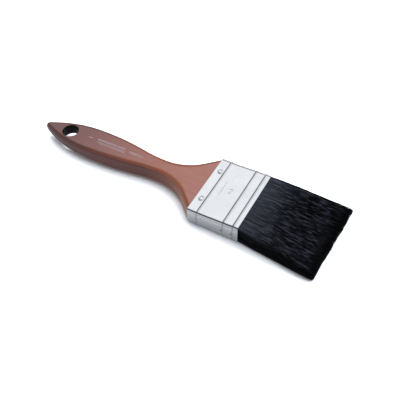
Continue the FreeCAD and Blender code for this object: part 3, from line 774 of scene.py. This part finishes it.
class Shader(Nodes):
    """A material with one Principled node."""

    def __init__(self, name):
        self.material = bpy.data.materials.new(name)
        self.material.use_nodes = True
        super().__init__(self.material.node_tree)

    def finish(self, **values):
        """Set the surface's sockets by name and hand back the material."""
        surface = self.tree.nodes["Principled BSDF"]
        for name, value in values.items():
            self.feed(surface.inputs[name.replace("_", " ")], value)
        return self.material

    def curve(self, value, points):
        """A smooth curve through (place, height) points from 0 to 1."""
        node = self.add("ShaderNodeFloatCurve", {"Value": value})
        line = node.mapping.curves[0].points
        line[0].location, line[1].location = points[0], points[-1]
        for point in points[1:-1]:
            line.new(*point)
        node.mapping.update()
        return node.outputs[0]

    def place(self, scale):
        """Object coordinates in millimetres, stretched by a scale."""
        coordinates = self.add("ShaderNodeTexCoord").outputs["Object"]
        mapping = self.add("ShaderNodeMapping", {"Vector": coordinates})
        mapping.inputs["Scale"].default_value = [factor / MM for factor in scale]
        return mapping.outputs[0]

    def axis(self, name):
        """One object coordinate in metres."""
        coordinates = self.add("ShaderNodeTexCoord").outputs["Object"]
        return self.add("ShaderNodeSeparateXYZ", {0: coordinates}).outputs[name]

    def normal(self):
        """The parts of the surface's direction."""
        geometry = self.add("ShaderNodeNewGeometry")
        return self.add("ShaderNodeSeparateXYZ", {0: geometry.outputs["Normal"]}).outputs

    def noise(self, scale, detail, roughness=0.55, distortion=0.0):
        """Noise from 0 to 1 with features of about 1/scale millimetres along each axis."""
        node = self.add("ShaderNodeTexNoise", {
            "Vector": self.place(scale), "Scale": 1.0, "Detail": detail, "Roughness": roughness,
            "Distortion": distortion,
        })
        return node.outputs["Fac"]

    def mix(self, factor, first, second):
        """From the first colour to the second as the factor goes from 0 to 1."""
        node = self.add("ShaderNodeMix", data_type="RGBA")
        for socket, value in zip((0, 6, 7), (factor, first, second)):
            self.feed(node.inputs[socket], value)
        return node.outputs[2]

    def bump(self, height, distance, strength, normal=None):
        """A surface direction disturbed by a height, of so many millimetres from 0 to 1."""
        node = self.add("ShaderNodeBump", {
            "Height": height, "Distance": distance * MM, "Strength": strength,
        })
        if normal:
            self.feed(node.inputs["Normal"], normal)
        return node.outputs[0]


def srgb(red, green, blue):
    """A linear colour from the usual 0 to 255 values."""
    def linear(value):
        value /= 255
        return value / 12.92 if value <= 0.04045 else ((value + 0.055) / 1.055) ** 2.4
    return (linear(red), linear(green), linear(blue), 1.0)


def handle_outline(shader, along):
    """Half the width of the handle, in metres, worked out from a place along it."""
    tail, shoulder = in_brush(handle_low)[0], -0.2
    first_share, stations = 0.004, 40
    full = wood_half_width(shoulder)
    shares = np.linspace(first_share, 1, stations)
    places = tail + shares * (shoulder - tail)
    points = [(float(share), wood_half_width(x) / full) for share, x in zip(shares, places)]
    start, length = ORIGIN[0] + tail * MM, (shoulder - tail) * MM
    share = shader.math("DIVIDE", shader.math("SUBTRACT", along, float(start)), float(length))
    return shader.times(shader.curve(share, points), full * MM)


def lacquered_wood():
    """Stained wood under satin lacquer: fine grain along the handle, greyer towards the tail, with
    painted shade on the narrow sides, and the rims of the broad faces orange brown, partly worn
    lacquer and partly a painted edge highlight."""
    # Stretches along the handle over which its looks change, in metres of the row frame.
    whole, by_tail, neck, shoulder, belly = (
        (-0.112, 0.010), (-0.110, -0.070), (-0.030, 0.016), (-0.030, 0.012), (-0.090, -0.020),
    )
    shader = Shader("lacquered_wood")
    grain = shader.noise((0.035, 1.1, 1.1), detail=6, roughness=0.62, distortion=0.35)
    pores = shader.noise((0.22, 5.5, 5.5), detail=3)
    clouds = shader.noise((0.03, 0.08, 0.08), detail=2)
    colour = shader.mix(shader.ramp(grain, 0.34, 0.68), srgb(151, 94, 82), srgb(159, 102, 89))
    colour = shader.mix(shader.ramp(pores, 0.60, 0.76, 0, 0.20), colour, srgb(92, 52, 44))
    colour = shader.mix(shader.ramp(clouds, 0.35, 0.75, 0, 0.30), colour, srgb(156, 112, 100))
    along = shader.axis("X")
    colour = shader.mix(shader.ramp(along, *whole, 0.92, 0.0), colour, srgb(91, 53, 55))
    level = shader.math("ABSOLUTE", shader.normal()["Z"])
    # Painted shade: the rounded edges and narrow sides are painted dark brown, darkest by the tail
    # and lighter by the neck.
    lower = shader.ramp(level, 0.82, 0.45, 0.0, 0.90)
    side = shader.mix(shader.ramp(along, *by_tail), srgb(52, 24, 24), srgb(80, 38, 32))
    side = shader.mix(shader.ramp(along, *neck), side, srgb(122, 68, 40))
    colour = shader.mix(lower, colour, side)
    # The rims of the broad faces in orange brown: partly worn lacquer, partly a painted edge
    # highlight.
    inset = shader.math("SUBTRACT", handle_outline(shader, along),
                        shader.math("ABSOLUTE", shader.axis("Y")))
    inset = shader.times(inset, shader.ramp(along, *shoulder, 1.0, 0.72))
    edge = shader.ramp(inset, 2.3 * MM, 3.4 * MM, 0.97, 0.0)
    edge = shader.times(edge, shader.ramp(level, 0.68, 0.88))
    edge = shader.times(edge, shader.ramp(clouds, 0.2, 0.6, 0.80, 1.0))
    rim = shader.mix(shader.ramp(along, *belly), srgb(68, 26, 16), srgb(124, 58, 18))
    colour = shader.mix(edge, colour, rim)
    return shader.finish(
        Base_Color=colour, Roughness=shader.ramp(pores, 0.2, 0.8, 0.36, 0.50), IOR=1.5,
        Specular_IOR_Level=0.30, Coat_Weight=0.12, Coat_IOR=1.5, Coat_Roughness=0.22,
        Normal=shader.bump(grain, 0.05, 0.5, shader.bump(pores, 0.02, 0.35)),
    )


def tinned_sheet():
    """Satin tinned steel: faint rolling lines and smudges, with painted shade along one flank of
    each bead, along the rounded corners, in the clinch marks and round the front nails."""
    shader = Shader("tinned_sheet")
    lines = shader.noise((4.0, 0.05, 0.05), detail=3)
    smudge = shader.noise((0.10, 0.13, 0.13), detail=4, distortion=0.6)
    speck = shader.noise((1.6, 1.6, 1.6), detail=3)
    colour = shader.mix(shader.ramp(smudge, 0.35, 0.75), srgb(178, 180, 182), srgb(174, 176, 179))
    colour = shader.mix(shader.ramp(lines, 0.3, 0.7, 0, 0.10), colour, srgb(148, 152, 158))
    colour = shader.mix(shader.ramp(speck, 0.45, 0.72, 0, 0.34), colour, srgb(150, 154, 160))
    along = shader.axis("X")
    # Painted shade: a dark line along one flank of each bead, where its slope falls in shade.
    painted_shade = 0.0
    for bead in BEADS:
        distance = shader.apart(along, ORIGIN[0] + (bead - BEAD_FLANK) * MM)
        band = shader.ramp(distance, 0.26 * MM, 0.74 * MM, 1.0, 0.0)
        painted_shade = shader.math("MAXIMUM", painted_shade, band)
    painted_shade = shader.times(painted_shade, shader.ramp(speck, 0.25, 0.7, 0.65, 1.0))
    normal = shader.normal()
    level = shader.math("ABSOLUTE", normal["Z"])
    aside = shader.math("ABSOLUTE", normal["Y"])
    painted_shade = shader.times(painted_shade, shader.ramp(level, 0.25, 0.75, 0.50, 1.0))
    # Painted shade: a dark line along the rounded corners between the broad faces and the narrow
    # sides.
    corner = shader.times(shader.ramp(aside, 0.25, 0.55), shader.ramp(level, 0.2, 0.5))
    height = shader.apart(shader.axis("Z"), float(ORIGIN[2]))
    corner = shader.times(corner, shader.ramp(height, 4.3 * MM, 5.0 * MM))
    painted_shade = shader.math("MAXIMUM", painted_shade, shader.times(corner, 0.85))
    across = shader.axis("Y")
    # Painted shade: a dark band on the broad faces along the far rounded corner.
    fold = (HALF_WIDTH - 2.2) * MM
    far_corner_shade = shader.ramp(across, fold, fold + 0.30 * MM, 0.0, 0.62)
    painted_shade = shader.math("MAXIMUM", painted_shade, shader.times(far_corner_shade, level))

    def off_centre(first, second):
        """Distance from a centre, from the offsets along two axes."""
        squares = shader.math("ADD", shader.times(first, first), shader.times(second, second))
        return shader.math("SQRT", squares)

    offset_z = shader.math("SUBTRACT", shader.axis("Z"), float(ORIGIN[2]) + CLINCH_HEIGHT * MM)
    near_side = shader.ramp(normal["Y"], -0.6, -0.9)
    # Painted shade in the two clinch dimples on the near side.
    for clinch in CLINCHES:
        offset_x = shader.math("SUBTRACT", along, ORIGIN[0] + clinch * MM)
        distance = off_centre(offset_x, offset_z)
        hollow = shader.ramp(distance, 0.35 * MM, 0.95 * MM, 0.85, 0.0)
        painted_shade = shader.math("MAXIMUM", painted_shade, shader.times(hollow, near_side))
    # Painted shade: a dark ring over each front nail's pressed ring, heaviest on the side towards
    # the handle.
    for side in (-FRONT_NAIL, FRONT_NAIL):
        offset_x = shader.math("SUBTRACT", along, ORIGIN[0] + NAIL_PLACE * MM)
        distance = off_centre(offset_x, shader.math("SUBTRACT", across, side * MM))
        off_ring = shader.apart(distance, 1.68 * MM)
        ring = shader.times(shader.ramp(off_ring, 0.10 * MM, 0.34 * MM, 0.9, 0.0),
                            shader.ramp(offset_x, -0.4 * MM, 1.4 * MM, 1.0, 0.30))
        painted_shade = shader.math("MAXIMUM", painted_shade, ring)
    colour = shader.mix(painted_shade, colour, srgb(62, 64, 70))
    return shader.finish(
        Base_Color=colour, Metallic=1.0,
        Roughness=shader.ramp(smudge, 0.3, 0.8, 0.33, 0.38),
        Normal=shader.bump(lines, 0.010, 0.5, shader.bump(speck, 0.016, 0.5)),
    )


def stamped_tin():
    """The duller tin of the pressed mark."""
    shader = Shader("stamped_tin")
    speck = shader.noise((1.1, 1.1, 1.1), detail=4)
    colour = shader.mix(shader.ramp(speck, 0.35, 0.65), srgb(140, 144, 150), srgb(172, 175, 179))
    return shader.finish(
        Base_Color=colour, Metallic=1.0, Roughness=shader.ramp(speck, 0.3, 0.8, 0.40, 0.55),
        Normal=shader.bump(speck, 0.02, 0.4),
    )


def nail_steel():
    """Worn steel of the nail heads, with a little rust."""
    shader = Shader("nail_steel")
    speck = shader.noise((1.4, 1.4, 1.4), detail=4)
    rust = shader.noise((0.7, 0.7, 0.7), detail=5, roughness=0.7)
    colour = shader.mix(shader.ramp(speck, 0.35, 0.7), srgb(200, 200, 202), srgb(150, 150, 154))
    colour = shader.mix(shader.ramp(rust, 0.62, 0.8, 0, 0.5), colour, srgb(96, 72, 54))
    return shader.finish(
        Base_Color=colour, Metallic=1.0, Roughness=shader.ramp(speck, 0.3, 0.8, 0.24, 0.5),
        Normal=shader.bump(speck, 0.06, 0.6),
    )


def black_liner():
    """Glossy black of the hanging hole, uneven like a dipped coat."""
    shader = Shader("black_liner")
    speck = shader.noise((0.9, 0.9, 0.35), detail=4)
    drips = shader.noise((0.8, 0.8, 0.08), detail=2)
    colour = shader.mix(shader.ramp(speck, 0.3, 0.8), srgb(4, 4, 5), srgb(14, 14, 15))
    return shader.finish(
        Base_Color=colour, Roughness=shader.ramp(drips, 0.3, 0.75, 0.22, 0.60), IOR=1.5,
        Specular_IOR_Level=0.14, Normal=shader.bump(drips, 0.20, 0.8),
    )


def set_resin():
    """Amber resin with swirls and small bubbles."""
    shader = Shader("set_resin")
    swirl = shader.noise((0.25, 0.25, 0.25), detail=4, distortion=1.2)
    bubble = shader.noise((1.8, 1.8, 1.8), detail=2)
    colour = shader.mix(shader.ramp(swirl, 0.3, 0.7), srgb(70, 40, 20), srgb(120, 78, 38))
    colour = shader.mix(shader.ramp(bubble, 0.66, 0.74, 0, 0.6), colour, srgb(160, 120, 78))
    return shader.finish(
        Base_Color=colour, Roughness=shader.ramp(swirl, 0.3, 0.7, 0.18, 0.34), IOR=1.55,
        Coat_Weight=0.4, Coat_Roughness=0.1, Normal=shader.bump(bubble, 0.08, 0.5),
    )


def plain_wood():
    """Bare pale wood of the spacer strip, with fibres along it."""
    shader = Shader("plain_wood")
    grain = shader.noise((0.06, 1.6, 1.6), detail=6, distortion=0.5)
    fibre = shader.noise((0.4, 7.0, 7.0), detail=3)
    colour = shader.mix(shader.ramp(grain, 0.35, 0.68), srgb(196, 160, 112), srgb(222, 192, 148))
    colour = shader.mix(shader.ramp(fibre, 0.55, 0.78, 0, 0.35), colour, srgb(160, 122, 80))
    return shader.finish(
        Base_Color=colour, Roughness=shader.ramp(fibre, 0.2, 0.8, 0.6, 0.8),
        Normal=shader.bump(fibre, 0.06, 0.6),
    )


def print_ink():
    """Pale worn ink of the printed band."""
    shader = Shader("print_ink")
    wear = shader.noise((0.9, 1.6, 1.6), detail=4)
    colour = shader.mix(shader.ramp(wear, 0.4, 0.7), srgb(168, 160, 172), srgb(138, 112, 112))
    return shader.finish(
        Base_Color=colour, Roughness=shader.ramp(wear, 0.3, 0.8, 0.4, 0.6),
        Normal=shader.bump(wear, 0.02, 0.3),
    )


def bristle():
    """Dyed black bristle: each one its own shade, dusty and with a painted sheen near the ferrule,
    painted glints and painted shade in the gaps, and painted shade darkest at the tips and on the
    narrow sides."""
    shader = Shader("bristle")
    shade, dust_and_sheen, side_and_gap_shade, reach = (
        shader.add("ShaderNodeAttribute", attribute_name=name).outputs["Fac"]
        for name in ("shade", "dust_and_sheen", "side_and_gap_shade", "reach")
    )
    streak = shader.noise((0.05, 0.30, 0.30), detail=2, distortion=0.3)
    painted_glint_and_gap = shader.noise((0.075, 1.05, 1.05), detail=3, roughness=0.60)
    fine = shader.noise((0.4, 6.0, 6.0), detail=2)
    colour = shader.mix(shader.math("POWER", shade, 2.5), srgb(2, 2, 4), srgb(34, 37, 46))
    colour = shader.mix(shader.ramp(shade, 0.93, 1.0, 0, 0.30), colour, srgb(54, 44, 38))
    colour = shader.mix(shader.ramp(streak, 0.45, 0.65, 0, 0.5), colour, srgb(30, 33, 41))
    # Painted glints: pale bluish streaks along the bristles; painted shade: near black gaps between
    # them.
    colour = shader.mix(shader.ramp(painted_glint_and_gap, 0.50, 0.62, 0, 0.9), colour, srgb(78, 82, 95))
    colour = shader.mix(shader.ramp(painted_glint_and_gap, 0.48, 0.40, 0, 0.9), colour, srgb(2, 2, 3))
    # Painted shade: the narrow sides, and the core between the bristles, darkened towards black.
    colour = shader.mix(shader.times(side_and_gap_shade, 0.85), colour, srgb(3, 3, 4))
    # Dust and a painted sheen by the ferrule, in a pale bluish grey.
    colour = shader.mix(shader.times(dust_and_sheen, 0.66), colour, srgb(88, 93, 106))
    # Painted shade: the last quarter of each bristle darkens to near black at the tips.
    tips = shader.ramp(reach, 0.74, 0.97, 0.0, 0.96)
    colour = shader.mix(tips, colour, srgb(3, 3, 4))
    return shader.finish(
        Base_Color=colour, IOR=1.5, Specular_IOR_Level=0.045,
        Roughness=shader.ramp(fine, 0.25, 0.75, 0.34, 0.52),
        Normal=shader.bump(fine, 0.02, 0.3),
    )


# --------------------------------------------------------------------------- floor, light, camera


WORLD_STRENGTH, WORLD_COLOUR = 0.95, (0.975, 0.985, 1.0, 1.0)
DARK_DIRECTION = Vector((0.1, -0.85, 0.50)).normalized()
DARK_EDGE, DARK_CORE, DARK_SHARE = 0.52, 0.82, 0.60
FLOOR_HALF_SIZE = 4000.0
FLOOR_GAP = 0.02
FLOOR_GLOW = 0.26
FLOOR_SUN_STRENGTH = 5.5
FLOOR_SUN_ANGLE = math.radians(85)
FLOOR_SUN_DIRECTION = Vector((-0.22, -0.70, -1.0))
SOFTBOX_PLACE = Vector((-0.15, 0.80, 1.0))
SOFTBOX_SIZE = (2.2, 1.6)
SOFTBOX_POWER = 12.0
CAMERA_PLACE = (0.1587, -0.2509, 0.3354)
CAMERA_HEADING, CAMERA_DIP, CAMERA_ROLL = (math.radians(turn) for turn in (119.85, 49.82, 1.45))
CAMERA_SENSOR, CAMERA_LENS = 36.0, 58.5


def make_floor():
    """A wide floor, white paper to the camera. To the brush it is greyer, with a faint glow."""
    shader = Shader("floor")
    speck = shader.noise((0.02, 0.02, 0.02), detail=3)
    paper = shader.mix(shader.ramp(speck, 0.3, 0.7), srgb(240, 244, 250), srgb(242, 246, 252))
    seen = shader.add("ShaderNodeLightPath").outputs["Is Camera Ray"]
    material = shader.finish(
        Base_Color=shader.mix(seen, srgb(168, 170, 174), paper), Roughness=0.9,
        Specular_IOR_Level=0.1, Emission_Color=(1, 1, 1, 1),
        Emission_Strength=shader.ramp(seen, 0, 1, FLOOR_GLOW, 0.0),
    )
    half = FLOOR_HALF_SIZE
    depth = (cad_bounds[0].z - ORIGIN[2]) / MM - FLOOR_GAP
    corners = [(-half, -half, depth), (half, -half, depth), (half, half, depth),
               (-half, half, depth)]
    floor = new_piece("floor", corners, [(0, 1, 2, 3)], material, smooth=False)
    return floor


def make_world():
    """Even pale surroundings, with a dark stretch on the viewer's side for the metal to show."""
    world = bpy.data.worlds.new("studio")
    bpy.context.scene.world = world
    world.use_nodes = True
    nodes = Nodes(world.node_tree)
    direction = nodes.add("ShaderNodeTexCoord").outputs["Generated"]
    facing = nodes.add(
        "ShaderNodeVectorMath", {0: direction, 1: DARK_DIRECTION}, operation="DOT_PRODUCT",
    ).outputs["Value"]
    dark = nodes.ramp(facing, DARK_EDGE, DARK_CORE, 0.0, DARK_SHARE)
    level = nodes.times(nodes.math("SUBTRACT", 1.0, dark), WORLD_STRENGTH)
    camera_ray = nodes.add("ShaderNodeLightPath").outputs["Is Camera Ray"]
    background = world.node_tree.nodes["Background"]
    nodes.feed(background.inputs["Strength"], nodes.math("MAXIMUM", level, camera_ray))
    nodes.feed(background.inputs["Color"], WORLD_COLOUR)


def make_softbox():
    """A large soft lamp above and beyond the brush, aimed at the row frame's origin."""
    data = bpy.data.lights.new("softbox", "AREA")
    data.shape = "RECTANGLE"
    data.size, data.size_y = SOFTBOX_SIZE
    data.energy = SOFTBOX_POWER
    light = bpy.data.objects.new("softbox", data)
    light.location = SOFTBOX_PLACE
    light.rotation_euler = (-SOFTBOX_PLACE).to_track_quat("-Z", "Y").to_euler()
    bpy.context.scene.collection.objects.link(light)


def make_floor_light(floor):
    """A wide sun that only the floor receives, so that it stays white up to a close shadow."""
    data = bpy.data.lights.new("floor_light", "SUN")
    data.energy = FLOOR_SUN_STRENGTH
    data.angle = FLOOR_SUN_ANGLE
    light = bpy.data.objects.new("floor_light", data)
    light.rotation_euler = FLOOR_SUN_DIRECTION.to_track_quat("-Z", "Y").to_euler()
    bpy.context.scene.collection.objects.link(light)
    lit = bpy.data.collections.new("lit_by_floor_light")
    lit.objects.link(floor)
    light.light_linking.receiver_collection = lit


def make_camera():
    """A camera at the viewing angle of the photograph."""
    data = bpy.data.cameras.new("camera")
    data.sensor_width = CAMERA_SENSOR
    data.lens = CAMERA_LENS
    camera = bpy.data.objects.new("camera", data)
    level_reach = math.cos(CAMERA_DIP)
    look = Vector((
        level_reach * math.cos(CAMERA_HEADING),
        level_reach * math.sin(CAMERA_HEADING),
        -math.sin(CAMERA_DIP),
    ))
    camera.rotation_mode = "QUATERNION"
    level = look.to_track_quat("-Z", "Y")
    camera.rotation_quaternion = Quaternion(look, CAMERA_ROLL) @ level
    camera.location = CAMERA_PLACE
    bpy.context.scene.collection.objects.link(camera)
    bpy.context.scene.camera = camera


# ------------------------------------------------------------------------------------- the build

make_camera()
make_world()
make_floor_light(make_floor())
make_softbox()
bpy.context.scene.view_settings.view_transform = "Standard"

metal = tinned_sheet()
hair = bristle()
CAD_MATERIALS = {
    "handle": lacquered_wood(),
    "resin_heel": set_resin(),
    "spacer_plug": plain_wood(),
}
steel = nail_steel()
for nail in ("nail_front_left", "nail_front_right", "nail_rear_left", "nail_rear_right"):
    CAD_MATERIALS[nail] = steel
for node, material in CAD_MATERIALS.items():
    for slot in frame["nodes"][node].material_slots:
        slot.material = material

make_ferrule(metal)
make_size_mark(stamped_tin())
make_hole_liner(black_liner())
make_handle_print(print_ink())
make_core(hair)
make_bristles(hair)
